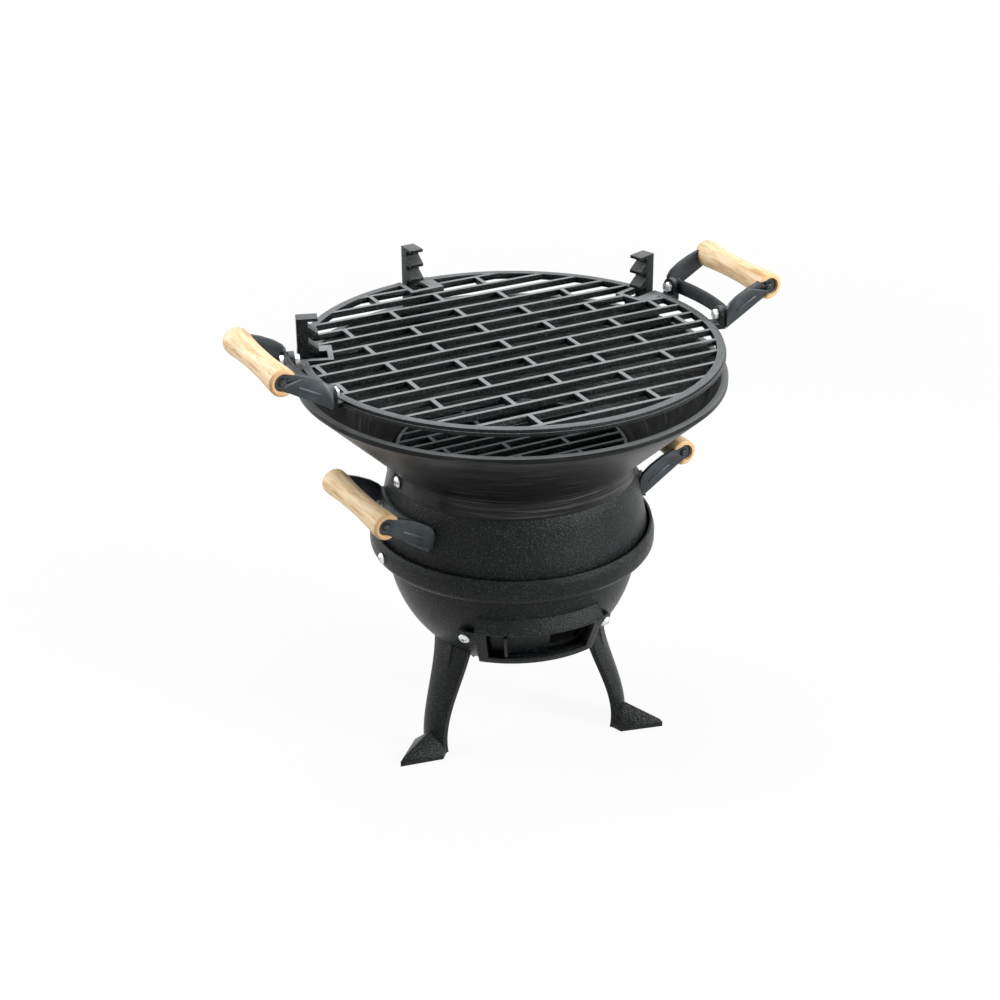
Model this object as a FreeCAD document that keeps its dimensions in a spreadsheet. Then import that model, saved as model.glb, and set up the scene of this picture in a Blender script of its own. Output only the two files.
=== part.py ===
import FreeCAD, Part
import math
import os
import re
import Sketcher

# Cast-iron table grill on three legs: an ash bowl, a body ring, a flared fire bowl with three notched
# posts, a charcoal grate, a lift-off cooking grate and four wooden handles. The floor is z = 0, the
# bowl's axis is the z axis, and the air vent looks along -y.

# Sizes in millimetres and degrees: name, value, meaning. A value that starts with = follows others
SIZES = (
    # ash bowl
    ("bowl_radius", 105, "outer radius of the round bowl"),
    ("bowl_wall", 5, "wall of the bowl"),
    ("bowl_brim", 167, "height of the bowl's widest circle above the floor"),
    ("bowl_foot", "=bowl_brim - bowl_radius * 80 / 105", "height of the bowl's flat underside"),
    ("band_step", 14.5, "width of the band's floor outside the bowl"),
    ("band_radius", "=bowl_radius + band_step", "outer radius of the band around the bowl's brim"),
    ("band_height", 21, "height of the band"),
    ("band_wall", 4, "wall of the band"),
    ("band_round", 3.5, "how far the band draws in at its lower edge"),
    ("band_round_height", 5.5, "height of that rounded edge"),
    ("band_flat", 8, "height of the band's straight part above it"),
    ("band_draft", 2, "how far the band draws in at its upper edge"),
    ("ledge_thickness", 4, "floor of the band, on which the body ring stands"),
    # body ring
    ("ring_gap", 2, "radial gap between the body ring and the band"),
    ("ring_radius", "=band_radius - band_wall - ring_gap", "outer radius of the body ring at its foot"),
    ("ring_taper", 11, "how far the body ring draws in towards its neck"),
    ("ring_neck", "=ring_radius - ring_taper", "outer radius of the body ring under the fire bowl"),
    ("ring_skirt", 15, "height of the straight skirt inside the band"),
    ("ring_cone", 49, "height of the sloping part of the body ring"),
    ("neck_height", "=bowl_brim + ledge_thickness + ring_skirt + ring_cone", "height of its neck"),
    ("ring_wall", 5, "wall of the body ring, measured level"),
    ("neck_step", 4, "height of the thick neck inside the body ring and of the slope below it"),
    ("neck_ledge", 4.3, "width of the ledge on which the fire bowl stands"),
    ("spigot_radius", "=ring_neck - neck_ledge", "outer radius of the spigot inside the collar"),
    ("spigot_height", 11, "height of that spigot"),
    # fire bowl
    ("collar_gap", 0.3, "radial gap between spigot and collar"),
    ("collar_wall", 5, "wall of the collar"),
    ("collar_height", 14.5, "height of the collar"),
    ("flare_height", 71.5, "height of the flare above the collar"),
    ("rim_radius", 175, "outer radius of the rim"),
    ("rim_edge", 4, "height of the rim's straight edge"),
    ("rim_width", 5.5, "width of the rim's flat top"),
    ("lug_thickness", 8, "thickness of the lugs that carry the posts"),
    # notched posts
    ("post_inset", 3, "distance of a post's outer face inside the rim"),
    ("post_radius", "=rim_radius - post_inset", "distance of a post's outer face from the axis"),
    ("post_depth", 17, "depth of a post with its teeth"),
    ("post_width", 12, "width of a post"),
    ("tooth_depth", 8, "depth of a tooth"),
    ("tooth_pitch", 13, "height between teeth"),
    ("tooth_face", 2.5, "height of a tooth's tip"),
    ("tooth_rise", 6, "height of a tooth's sloping back"),
    ("tooth_count", 3, "teeth on a post"),
    ("tooth_room", 4.5, "room above the grate under the lowest tooth"),
    ("post_foot_height", 16.7, "height of a post's foot block"),
    ("post_foot_depth", 23, "depth of a post's foot block"),
    ("post_lap", 6, "width of a post's foot under the pad beside its recess"),
    ("peg_radius", 4, "radius of the peg under a post"),
    ("peg_length", 6, "length of that peg"),
    ("peg_gap", 0.05, "radial gap round the peg"),
    ("post_angle", 108, "direction of the middle post"),
    ("right_post_angle", 74.5, "angle from the middle post to the right one"),
    ("left_post_angle", 67.5, "angle from the middle post to the left one"),
    # cooking grate
    ("rest_gap", 0.3, "gap under a piece that only rests in place"),
    ("grate_inset", 2.5, "distance of the cooking grate's edge inside the rim"),
    ("grate_radius", "=rim_radius - grate_inset", "outer radius of the cooking grate"),
    ("grate_ring", 7.5, "width of its outer ring"),
    ("edge_step", 1, "width of the step round the upper half of a grate's edge"),
    ("grate_thickness", 5.3, "thickness of the cooking grate"),
    ("grate_turn", 14.5, "direction of its bars and handles"),
    ("bar_count", 16, "bars of the cooking grate"),
    ("bar_margin", 2, "extra room between the outer bars and the ring"),
    ("bar_pitch", "=(grate_radius - grate_ring - bar_margin) * 2 / bar_count", "distance between its bars"),
    ("bar_thickness", 3.4, "thickness of a bar"),
    ("bar_height", 5, "height of its bars"),
    ("rib_pitch", "=bar_pitch * 5", "distance between cross ribs along a row"),
    ("rib_thickness", 3.7, "thickness of a cross rib"),
    ("rib_shift", -5, "place of the middle row's nearest rib"),
    ("recess_gap", 1.75, "room on each side of a post in its recess"),
    ("recess_reach", 7, "room in front of a post's teeth"),
    ("recess_frame", 4.2, "width of the frame round a recess"),
    ("recess_pad", 12, "width of the flat pad beside a recess"),
    ("ear_thickness", 5, "thickness of a handle ear"),
    ("ear_room", 0.3, "gap between the grate's edge and the nuts of its handles"),
    ("ear_stand", "=ear_room + nut_height + nut_gap", "distance of a handle ear outside the grate's edge"),
    ("ear_step", 1, "drop of an ear's tab below the grate's top"),
    ("ear_radius", 7, "radius of a handle ear round its bolt"),
    # charcoal grate
    ("coal_gap", 1.2, "radial gap between charcoal grate and collar"),
    ("coal_ring", 4, "width of the charcoal grate's ring"),
    ("coal_thickness", 7, "thickness of the charcoal grate"),
    ("coal_bar_count", 14, "bars of the charcoal grate"),
    ("coal_bar_pitch", "=(spigot_radius - coal_ring / 2) * 2 / coal_bar_count", "pitch of its bars"),
    ("coal_bar_thickness", 3.2, "thickness of its bars"),
    ("coal_bar_height", 5.5, "height of its bars"),
    ("coal_rib_pitch", "=coal_bar_pitch * 7", "distance between its cross ribs"),
    ("coal_rib_thickness", 3.4, "thickness of its cross ribs"),
    # handles
    ("strap_thickness", 3, "sheet of the handle straps"),
    ("strap_seat_gap", 0.1, "gap between a strap and its curved seat"),
    ("grip_half", 49.5, "half the length of a wooden grip"),
    ("grip_radius", 11, "radius of a grip's ends"),
    ("grip_waist", 9.4, "radius of a grip's waist"),
    ("grip_end", 9, "length of a grip's straight ends"),
    ("grip_chamfer", 1.5, "chamfer on a grip's ends"),
    ("grip_groove_gap", 0.25, "room round a strap's tip in the grip's groove"),
    ("tip_radius", 7, "radius of a strap's round tip"),
    ("tip_inset", 2.5, "depth of a strap's tip inside the grip's end"),
    ("arm_bulge", 2.5, "rise of an arm's upper edge at its middle"),
    ("arm_corner", 4, "drop of an arm's rounded upper corner at the band"),
    ("rod_radius", 2.5, "radius of a grip's rod"),
    ("rod_gap", 0.1, "radial gap round a rod"),
    ("rod_head_radius", 3.5, "radius of a rod's heads"),
    ("rod_head_height", 2.2, "height of a rod's heads"),
    ("top_reach", 43.5, "reach of the grate's grips from the grate's edge"),
    ("top_grip_reach", "=grate_radius + top_reach", "distance of the grate's grips from the axis"),
    ("top_grip_height", 26, "height of the grate's grips above the grate's top"),
    ("top_band_height", 12, "height of the grate straps' band"),
    ("top_band_lift", 5, "height of that band above the grate's underside"),
    ("top_arm_height", 20, "height of an arm at the grate strap's band"),
    ("top_bolt_angle", 12.2, "angle of the grate handle bolts from the handle's middle"),
    ("side_turn", 16, "direction of the side handles"),
    ("side_reach", 37, "reach of the side grips from the ring's neck"),
    ("side_grip_reach", "=ring_neck + side_reach", "distance of the side grips from the axis"),
    ("side_rise", -2, "height of the side grips above the ring's neck"),
    ("side_grip_height", "=neck_height + side_rise", "height of the side grips above the floor"),
    ("side_band_height", 19, "height of the side straps' band"),
    ("side_drop", 34, "depth of that band's foot below the ring's neck"),
    ("side_band_foot", "=neck_height - side_drop", "height of that band above the floor"),
    ("side_arm_height", 21, "height of an arm at the side strap's band"),
    ("side_bolt_angle", 15, "angle of the side handle bolts from the handle's middle"),
    # legs
    ("leg_angle", 92, "direction of the back leg"),
    ("leg_count", 3, "legs"),
    ("leg_top_height", "=bowl_brim - bowl_radius * 55 / 105", "height of a leg before the bowl trims it"),
    ("leg_top_radius", "=leg_bolt_radius + 7", "distance of a leg's front from the axis at that height"),
    ("leg_top_half", 22, "half the width of a leg at that height"),
    ("leg_knee_height", "=leg_top_height * 60 / 112", "height of a leg's knee section"),
    ("leg_knee_radius", "=leg_top_radius + 11", "distance of its front from the axis at the knee"),
    ("leg_knee_half", 15.3, "half its width at the knee"),
    ("ankle_height", 22, "height of the ankle"),
    ("ankle_radius", "=leg_top_radius + 22.5", "distance of its front from the axis at the ankle"),
    ("ankle_half", 12.4, "half its width at the ankle"),
    ("leg_bow", 4.5, "depth of the bow across a leg"),
    ("leg_plate", 5, "thickness of a leg's plate"),
    ("leg_web_half", 5.5, "half the width of the web that takes a leg's bolt"),
    ("heel_radius", "=ankle_radius + 1.5", "distance of the heel corners from the axis"),
    ("heel_half", 17.5, "half the width of a foot at its heel corners"),
    ("heel_back", "=ankle_radius - 7", "distance of a foot's back edge from the axis"),
    ("toe_radius", "=ankle_radius + 34.5", "distance of a toe's tip from the axis"),
    ("toe_wall", 4.5, "height of a foot's side wall"),
    ("toe_ridge", 7, "height of a foot's ridge at its tip"),
    ("instep_height", 20, "height of a foot's ridge at the ankle"),
    # air vent
    ("vent_angle", 270, "direction of the air vent"),
    ("vent_half", 30, "half the angle that the vent frame spans"),
    ("vent_bottom", "=bowl_brim - bowl_radius * 67 / 105", "height of the frame's lower edge"),
    ("vent_sill_radius", "=bowl_radius * 95.5 / 105", "distance of that edge from the axis"),
    ("hood_height", "=bowl_brim - bowl_radius * 33 / 105", "height of the hood's lip"),
    ("hood_radius", "=bowl_radius * 109 / 105", "distance of the hood's lip from the axis"),
    ("vent_top", "=bowl_brim - bowl_radius * 20.5 / 105", "height of the frame's upper edge"),
    ("vent_top_radius", "=bowl_radius * 102.5 / 105", "distance of that edge from the axis"),
    ("vent_back", "=bowl_radius * 75 / 105", "distance of the frame's drawn back from the axis"),
    ("window_half", 25, "half the angle of the frame's window"),
    ("window_bottom", "=bowl_brim - bowl_radius * 61 / 105", "lower edge of the window"),
    ("window_top", "=bowl_brim - bowl_radius * 34.5 / 105", "upper edge of the window"),
    ("slider_angle", 29, "angle that the slider spans"),
    ("slider_stop", 0.6, "angle between slider and frame at its open end"),
    ("slider_lap", 3, "lap of the slider behind the window's edges"),
    ("slider_lower_radius", "=bowl_radius * 87.6 / 105", "radius of the slider's back at the window's foot"),
    ("slider_upper_radius", "=bowl_radius * 100.6 / 105", "radius of the slider's back at the window's top"),
    ("slider_thickness", 2.8, "thickness of the slider, measured level"),
    ("slider_gap", 0.4, "running gap round the slider"),
    ("fin_reach", 7, "reach of the slider's finger fin"),
    ("fin_angle", 1.6, "angle that the fin spans"),
    ("fin_place", 8, "angle of the fin from the slider's end"),
    ("port_angle", 19, "angle of the air port in the bowl"),
    ("port_margin", 3, "margin of the port above and below inside the window"),
    ("frame_gap", 0.1, "gap between the frame's back and the bowl"),
    ("vent_ear_angle", 36.5, "angle of the frame's ears from its middle"),
    ("vent_ear_height", "=bowl_brim - bowl_radius * 43 / 105", "height of the frame's ears"),
    ("vent_ear_radius", 7.5, "radius of an ear"),
    ("vent_ear_thickness", 4, "thickness of an ear"),
    # fasteners
    ("screw_angle", 14, "direction of the band screws and neck screws"),
    ("screw_radius", 2.5, "radius of a screw's shank"),
    ("screw_gap", 0.2, "radial gap in a screw hole"),
    ("pan_radius", 4.8, "radius of a pan head"),
    ("pan_edge", 1.1, "straight edge of a pan head"),
    ("pan_crown", 1.9, "crown of a pan head"),
    ("pan_flat", 2.9, "radius of a pan head's flat top"),
    ("cross_length", 4.8, "length of the cross recess"),
    ("cross_width", 1.1, "width of the cross recess"),
    ("cross_depth", 1.4, "depth of the cross recess"),
    ("hex_radius", 4.6, "corner radius of hexagon heads and nuts"),
    ("hex_head", 3.5, "height of a hexagon head"),
    ("nut_height", 4, "height of a nut"),
    ("nut_gap", 0.2, "gap between a nut and its curved seat"),
    ("thread_gap", 0.05, "radial gap between nut and shank"),
    ("thread_end", 2, "length of thread past a nut"),
    ("leg_bolt_radius", "=bowl_radius * 70 / 105", "distance of a leg bolt from the axis"),
    ("leg_bolt_seat", "=bowl_brim - bowl_radius * 62 / 105", "height of a leg bolt's flat seat"),
    ("leg_bolt_depth", 8, "length of a leg bolt below the bowl's underside"),
    ("leg_boss_radius", 7.5, "radius of the boss under a leg bolt's head"),
)

doc = FreeCAD.newDocument("table_grill")
dims = doc.addObject("Spreadsheet::Sheet", "dims")
for row, (alias, number, meaning) in enumerate(SIZES, 1):
    dims.set("A%d" % row, meaning)
    dims.setAlias("B%d" % row, alias)
for row, (alias, number, meaning) in enumerate(SIZES, 1):
    dims.set("B%d" % row, str(number))
doc.recompute()
ALIASES = {alias for alias, number, meaning in SIZES}
NODES = []

# Heights that follow from the stack of castings
RING_SEAT = "(bowl_brim + ledge_thickness)"
CONE_FOOT = "(bowl_brim + ledge_thickness + ring_skirt)"
NECK_SEAT = "neck_height"
SPIGOT_TOP = "(%s + spigot_height)" % NECK_SEAT
COLLAR_TOP = "(%s + collar_height)" % NECK_SEAT
RIM_TOP = "(%s + flare_height)" % COLLAR_TOP
GRATE_FOOT = "(%s + post_foot_height + rest_gap)" % RIM_TOP
GRATE_TOP = "(%s + grate_thickness)" % GRATE_FOOT
COAL_FOOT = "(%s + rest_gap)" % SPIGOT_TOP

# Radii that follow from the fits
COLLAR_INNER = "(spigot_radius + collar_gap)"
COLLAR_OUTER = "(spigot_radius + collar_gap + collar_wall)"
SPIGOT_INNER = "(spigot_radius - ring_wall)"
SKIRT_INNER = "(ring_radius - ring_wall)"
COAL_RADIUS = "(spigot_radius + collar_gap - coal_gap)"
POST_TIP = "(post_radius - post_depth)"
SCREW_HOLE = "(screw_radius + screw_gap)"
RING_SLOPE = "((ring_radius - ring_neck) / ring_cone)"
RING_LEAN = "(atan((ring_radius - ring_neck) / ring_cone) / 1 deg)"
SLIDER_SLOPE = "((slider_upper_radius - slider_lower_radius) / (window_top - window_bottom))"

# Faces of the handle ears, sideways span of a handle strap, and widths at a post
EAR_BACK = "(grate_radius + ear_stand)"
EAR_FACE = "(grate_radius + ear_stand + ear_thickness)"
STRAP_HALF = "(grip_half - tip_inset)"
RECESS_HALF = "(post_width / 2 + recess_gap)"
FOOT_SIDE = "(%s + post_lap)" % RECESS_HALF
FOOT_WIDTH = "(%s + post_lap + post_width / 2)" % RECESS_HALF


def linked(expression):
    def to_cell(word):
        return "dims." + word.group() if word.group() in ALIASES else word.group()
    return re.sub(r"[a-z][a-z_]*", to_cell, str(expression))


def value(expression):
    return float(dims.evalExpression(linked(expression)))


def tie(item, **sizes):
    for name, expression in sizes.items():
        item.setExpression(name, linked(expression))
    return item


def place(item, x=0, y=0, z=0, yaw=0, pitch=0, roll=0):
    spot = "placement(vector(%s; %s; %s); rotation(%s; %s; %s))" % (x, y, z, yaw, pitch, roll)
    return tie(item, Placement=spot)


def place_out(item, angle, out, side, height, pitch=0, roll=0):
    x = "(%s) * cos(%s) - (%s) * sin(%s)" % (out, angle, side, angle)
    y = "(%s) * sin(%s) + (%s) * cos(%s)" % (out, angle, side, angle)
    return place(item, x, y, height, angle, pitch, roll)


def solid(kind, name, **sizes):
    return tie(doc.addObject("Part::" + kind, name), **sizes)


def gather(name, items):
    group = doc.addObject("Part::Compound", name)
    group.Links = list(items)
    return group


def fuse(name, items):
    joined = doc.addObject("Part::MultiFuse", name)
    joined.Shapes = list(items)
    joined.Refine = True
    return joined


def cut(name, base, tools):
    tools = list(tools)
    trimmed = doc.addObject("Part::Cut", name)
    trimmed.Base = base
    trimmed.Tool = tools[0] if len(tools) == 1 else gather(name + "_tools", tools)
    trimmed.Refine = True
    return trimmed


def common(name, first, second):
    shared = doc.addObject("Part::Common", name)
    shared.Base = first
    shared.Tool = second
    return shared


def keep(label, item):
    item.Label = label
    NODES.append(item)
    return item


# A closed outline whose corners are each tied to two sizes; the side numbered waist bends inward
def outline(sketch, corners, waist=None):
    points = [FreeCAD.Vector(value(x), value(y), 0) for x, y in corners]
    count = len(points)
    for index in range(count):
        after = points[(index + 1) % count]
        side = Part.LineSegment(points[index], after)
        if index == waist:
            middle = (points[index] + after) / 2
            middle.x = value("grip_waist")
            side = Part.Arc(points[index], middle, after)
        sketch.addGeometry(side, False)
    for index in range(count):
        after = (index + 1) % count
        near = 1 if index == waist else 2
        far = 2 if after == waist else 1
        sketch.addConstraint(Sketcher.Constraint("Coincident", index, near, after, far))
    for index, (x, y) in enumerate(corners):
        end = 2 if index == waist else 1
        spots = (("DistanceX", x, points[index].x), ("DistanceY", y, points[index].y))
        for kind, expression, number in spots:
            spot = sketch.addConstraint(Sketcher.Constraint(kind, -1, 1, index, end, number))
            sketch.setExpression("Constraints[%d]" % spot, linked(expression))
    if waist is not None:
        sag = "(grip_radius - grip_waist)"
        bend = "(pow(grip_half - grip_end; 2) + pow(%s; 2)) / (2 * %s)" % (sag, sag)
        spot = sketch.addConstraint(Sketcher.Constraint("Radius", waist, value(bend)))
        sketch.setExpression("Constraints[%d]" % spot, linked(bend))
    return sketch


def upright_sketch(name, corners):
    sketch = doc.addObject("Sketcher::SketchObject", name)
    sketch.Placement = FreeCAD.Placement(FreeCAD.Vector(), FreeCAD.Rotation(0, 0, 90))
    return outline(sketch, corners)


# A turned casting: a profile of radius and height, turned round the z axis
def turned(name, corners, waist=None):
    body = doc.addObject("PartDesign::Body", name)
    sketch = body.newObject("Sketcher::SketchObject", name + "_profile")
    plane = [item for item in body.Origin.OriginFeatures if item.Role == "XZ_Plane"][0]
    sketch.AttachmentSupport = [(plane, "")]
    sketch.MapMode = "FlatFace"
    outline(sketch, corners, waist)
    turn = body.newObject("PartDesign::Revolution", name + "_turn")
    turn.Profile = sketch
    turn.ReferenceAxis = (sketch, ["V_Axis"])
    turn.Angle = 360
    return body


# A curved block: a profile of radius and height, swept over an angle about a direction
def sector(name, corners, angle, direction):
    sketch = upright_sketch(name + "_profile", corners)
    block = doc.addObject("Part::Revolution", name)
    block.Source = sketch
    block.Axis = FreeCAD.Vector(0, 0, 1)
    block.Solid = True
    block.Symmetric = True
    tie(block, Angle=angle)
    return place(block, yaw=direction)


# A flat plate: a profile of reach and height, as thick as it is told, standing in a direction
def plate(name, corners, thickness, direction, side=0):
    sketch = upright_sketch(name + "_profile", corners)
    block = doc.addObject("Part::Extrusion", name)
    block.Base = sketch
    block.DirMode = "Normal"
    block.Solid = True
    block.Symmetric = True
    tie(block, LengthFwd=thickness)
    return place_out(block, direction, 0, side, 0)


# A level hole or shank whose local z axis points outward in a direction
def outward(item, direction, radius, height, tilt=0):
    return place_out(item, direction, radius, 0, height, pitch="90 - (%s)" % tilt)


# A spot whose local z axis leaves the bowl's middle through a height on the bowl's outer skin
def from_bowl(item, direction, distance, height):
    lean = "(asin((%s - bowl_brim) / bowl_radius) / 1 deg)" % height
    out = "(%s) * cos(%s)" % (distance, lean)
    rise = "bowl_brim + (%s) * sin(%s)" % (distance, lean)
    return place_out(item, direction, out, 0, rise, pitch="90 - %s" % lean)


# Fasteners stand on z = 0 of their own frame with the head above and the shank below

def pan_screw(name, length):
    edge = solid("Cylinder", name + "_edge", Radius="pan_radius", Height="pan_edge")
    crown = solid("Cone", name + "_crown", Radius1="pan_radius", Radius2="pan_flat", Height="pan_crown")
    place(crown, z="pan_edge")
    shank = solid("Cylinder", name + "_shank", Radius="screw_radius", Height=length)
    place(shank, z="-(%s)" % length)
    blank = fuse(name + "_blank", (edge, crown, shank))
    top = "pan_edge + pan_crown - cross_depth"
    slots = []
    for mark, yaw in (("a", 0), ("b", 90)):
        slot = solid("Box", name + "_slot_" + mark, Length="cross_length", Width="cross_width",
                     Height="cross_depth * 2")
        slots.append(place_out(slot, yaw, "-cross_length / 2", "-cross_width / 2", top))
    return cut(name, blank, [fuse(name + "_cross", slots)])


def hex_bolt(name, length):
    head = solid("Prism", name + "_head", Circumradius="hex_radius", Height="hex_head")
    shank = solid("Cylinder", name + "_shank", Radius="screw_radius", Height=length)
    place(shank, z="-(%s)" % length)
    return fuse(name, (head, shank))


def hex_nut(name):
    blank = solid("Prism", name + "_blank", Circumradius="hex_radius", Height="nut_height")
    bore = solid("Cylinder", name + "_bore", Radius="screw_radius + thread_gap", Height="nut_height * 3")
    place(bore, z="-nut_height")
    return cut(name, blank, [bore])


def hole(name, length):
    return solid("Cylinder", name, Radius=SCREW_HOLE, Height=length)


# Ash bowl: a round bowl with a flat underside, a band round its brim, an air port and screw holes

def make_base_bowl():
    outer_ball = place(solid("Sphere", "bowl_ball", Radius="bowl_radius"), z="bowl_brim")
    outer_limit = solid("Cylinder", "bowl_limit", Radius="bowl_radius", Height="bowl_brim - bowl_foot")
    outer = common("bowl_outer", outer_ball, place(outer_limit, z="bowl_foot"))
    within = "bowl_radius - bowl_wall * 2"
    corners = [(within, "bowl_brim")]
    for share, inset in ((0, 1), (0.3, 0.45), (0.65, 0.12), (1, 0)):
        corners.append(("band_radius - band_round * %s" % inset, "bowl_brim + band_round_height * %s" % share))
    corners += [("band_radius", "bowl_brim + band_round_height + band_flat"),
                ("band_radius - band_draft", "bowl_brim + band_height"), (within, "bowl_brim + band_height")]
    blank = fuse("bowl_blank", (outer, turned("bowl_band", corners)))
    inner_ball = place(solid("Sphere", "bowl_hollow_ball", Radius="bowl_radius - bowl_wall"), z="bowl_brim")
    inner_limit = solid("Cylinder", "bowl_hollow_limit", Radius="bowl_radius",
                        Height="bowl_brim + ledge_thickness * 2 - bowl_foot - bowl_wall")
    hollow = common("bowl_hollow", inner_ball, place(inner_limit, z="bowl_foot + bowl_wall"))
    throat = solid("Cylinder", "bowl_throat", Radius="bowl_radius - bowl_wall", Height="band_height")
    socket = solid("Cylinder", "bowl_socket", Radius="band_radius - band_wall", Height="band_height")
    room = fuse("bowl_room", (hollow, place(throat, z="bowl_brim"), place(socket, z=RING_SEAT)))
    shell = cut("bowl_shell", blank, [room])
    bosses = []
    seats = []
    for index in range(int(value("leg_count"))):
        turn = "(leg_angle + 360 * %d / leg_count)" % index
        boss = solid("Cylinder", "leg_boss_%d" % index, Radius="leg_boss_radius",
                     Height="leg_bolt_seat - bowl_foot")
        place_out(boss, turn, "leg_bolt_radius", 0, "bowl_foot")
        bosses.append(common("leg_boss_trim_%d" % index, boss, outer))
        face = solid("Cylinder", "leg_face_%d" % index, Radius="leg_boss_radius - screw_gap",
                     Height="bowl_wall * 4")
        place_out(face, turn, "leg_bolt_radius", 0, "leg_bolt_seat")
        bore = hole("leg_bore_%d" % index, "leg_bolt_seat")
        place_out(bore, turn, "leg_bolt_radius", 0, "bowl_foot / 2")
        seats.append(fuse("leg_seat_%d" % index, (face, bore)))
    tools = seats + [vent_port()]
    for index in range(2):
        bore = hole("band_bore_%d" % index, "band_wall * 4")
        tools.append(outward(bore, screw_turn(index), "band_radius - band_wall * 2", BAND_SCREW))
        bore = hole("ear_bore_%d" % index, "bowl_wall * 4")
        tools.append(from_bowl(bore, ear_turn(index), "bowl_radius - bowl_wall * 2", "vent_ear_height"))
    bossed = fuse("bowl_bossed", [shell] + bosses)
    return keep("base_bowl", cut("base_bowl", bossed, tools))


BAND_SCREW = "(bowl_brim + band_height * 0.45)"
NECK_SCREW = "(%s + collar_height / 2)" % NECK_SEAT


def screw_turn(index):
    return "(screw_angle + 180 * %d)" % index


def ear_turn(index):
    return "(vent_angle %s vent_ear_angle)" % ("-+"[index])


# The slider rests at the open end of its window and closes by turning to the other end
SLIDER_REST = "(vent_angle - window_half + slider_stop + slider_angle / 2)"


def slider_radius(height):
    return "(slider_lower_radius + (%s - window_bottom) * %s)" % (height, SLIDER_SLOPE)


def vent_port():
    low = "window_bottom + port_margin"
    high = "window_top - port_margin"
    corners = (("vent_back", low), ("hood_radius", low), ("hood_radius", high), ("vent_back", high))
    middle = "(vent_angle + window_half - slider_stop - slider_angle / 2 + (slider_angle - port_angle) / 2)"
    return sector("vent_port", corners, "port_angle", middle)


# Legs: bowed plates that taper to the ankle and end in a pointed foot with a ridge

def leg_section(height, front, half):
    edge = front - value("leg_bow")
    back = value("leg_plate")
    near = [FreeCAD.Vector(edge, -half, height), FreeCAD.Vector(front, 0, height),
            FreeCAD.Vector(edge, half, height)]
    far = [point - FreeCAD.Vector(back, 0, 0) for point in near]
    bow = Part.Arc(*near).toShape()
    hollow = Part.Arc(*reversed(far)).toShape()
    sides = [Part.makeLine(near[2], far[2]), Part.makeLine(far[0], near[0])]
    return Part.Wire([bow, sides[0], hollow, sides[1]])


def foot_solid():
    wall = value("toe_wall")
    plan = [(value("toe_radius"), 0), (value("heel_radius"), value("heel_half")),
            (value("heel_back"), value("ankle_half")), (value("heel_back"), -value("ankle_half")),
            (value("heel_radius"), -value("heel_half"))]
    sole = [FreeCAD.Vector(x, y, 0) for x, y in plan]
    brow = [FreeCAD.Vector(x, y, wall) for x, y in plan]
    tip = FreeCAD.Vector(value("toe_radius") - value("toe_ridge") + wall, 0, value("toe_ridge"))
    crest = FreeCAD.Vector(value("ankle_radius"), 0, value("instep_height"))
    heel = FreeCAD.Vector(value("heel_back"), 0, value("instep_height"))
    rings = [sole[::-1]]
    for index in range(len(plan)):
        after = (index + 1) % len(plan)
        rings.append([sole[index], sole[after], brow[after], brow[index]])
    rings += [[brow[0], brow[1], tip], [tip, brow[1], crest], [brow[1], heel, crest]]
    rings += [[brow[1], brow[2], heel], [brow[2], brow[3], heel], [brow[3], brow[4], heel]]
    rings += [[brow[4], crest, heel], [brow[4], tip, crest], [brow[4], brow[0], tip]]
    faces = [Part.Face(Part.makePolygon(ring + ring[:1])) for ring in rings]
    foot = Part.Solid(Part.Shell(faces))
    if foot.Volume < 0:
        foot.reverse()
    return foot


def leg_web(foot):
    half = value("leg_web_half")
    top = value("leg_top_height")
    slope = (value("leg_knee_radius") - value("leg_top_radius")) / (top - value("leg_knee_height"))
    near = value("leg_bolt_radius") - half
    inside = value("leg_top_radius") - value("leg_plate") / 2
    corners = ((near, foot), (inside + slope * (top - foot), foot), (inside, top), (near, top))
    ring = [FreeCAD.Vector(out, -half, height) for out, height in corners]
    return Part.Face(Part.makePolygon(ring + ring[:1])).extrude(FreeCAD.Vector(0, half * 2, 0))


def make_leg(label, index):
    stations = (("0", "ankle_radius", "ankle_half"), ("ankle_height", "ankle_radius", "ankle_half"),
                ("leg_knee_height", "leg_knee_radius", "leg_knee_half"),
                ("leg_top_height", "leg_top_radius", "leg_top_half"))
    sections = [leg_section(value(height), value(front), value(half)) for height, front, half in stations]
    shank = Part.makeLoft(sections, True, False)
    ball = Part.makeSphere(value("bowl_radius + frame_gap"), FreeCAD.Vector(0, 0, value("bowl_brim")))
    size = value("bowl_radius") * 4
    corner = FreeCAD.Vector(-size / 2, -size / 2, value("bowl_foot - frame_gap"))
    bowl = ball.common(Part.makeBox(size, size, size, corner))
    bore_foot = value("bowl_foot - leg_bolt_depth - thread_end")
    bore = Part.makeCylinder(value("screw_radius + thread_gap"), value("leg_top_height"),
                             FreeCAD.Vector(value("leg_bolt_radius"), 0, bore_foot))
    web = leg_web(bore_foot - value("thread_end"))
    leg = doc.addObject("Part::Feature", label)
    leg.Shape = shank.fuse([foot_solid(), web]).removeSplitter().cut(bowl).cut(bore)
    turn = value("leg_angle") + 360.0 * index / value("leg_count")
    leg.Placement = FreeCAD.Placement(FreeCAD.Vector(), FreeCAD.Rotation(turn, 0, 0))
    return keep(label, leg)


def make_leg_bolts():
    bolts = []
    for index in range(int(value("leg_count"))):
        bolt = hex_bolt("leg_bolt_%d" % index, "leg_bolt_seat - bowl_foot + leg_bolt_depth")
        turn = "(leg_angle + 360 * %d / leg_count)" % index
        bolts.append(place_out(bolt, turn, "leg_bolt_radius", 0, "leg_bolt_seat"))
    return keep("leg_bolts", gather("leg_bolts", bolts))


# Body ring: a sloping ring with a skirt inside the band and a spigot inside the collar

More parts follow.
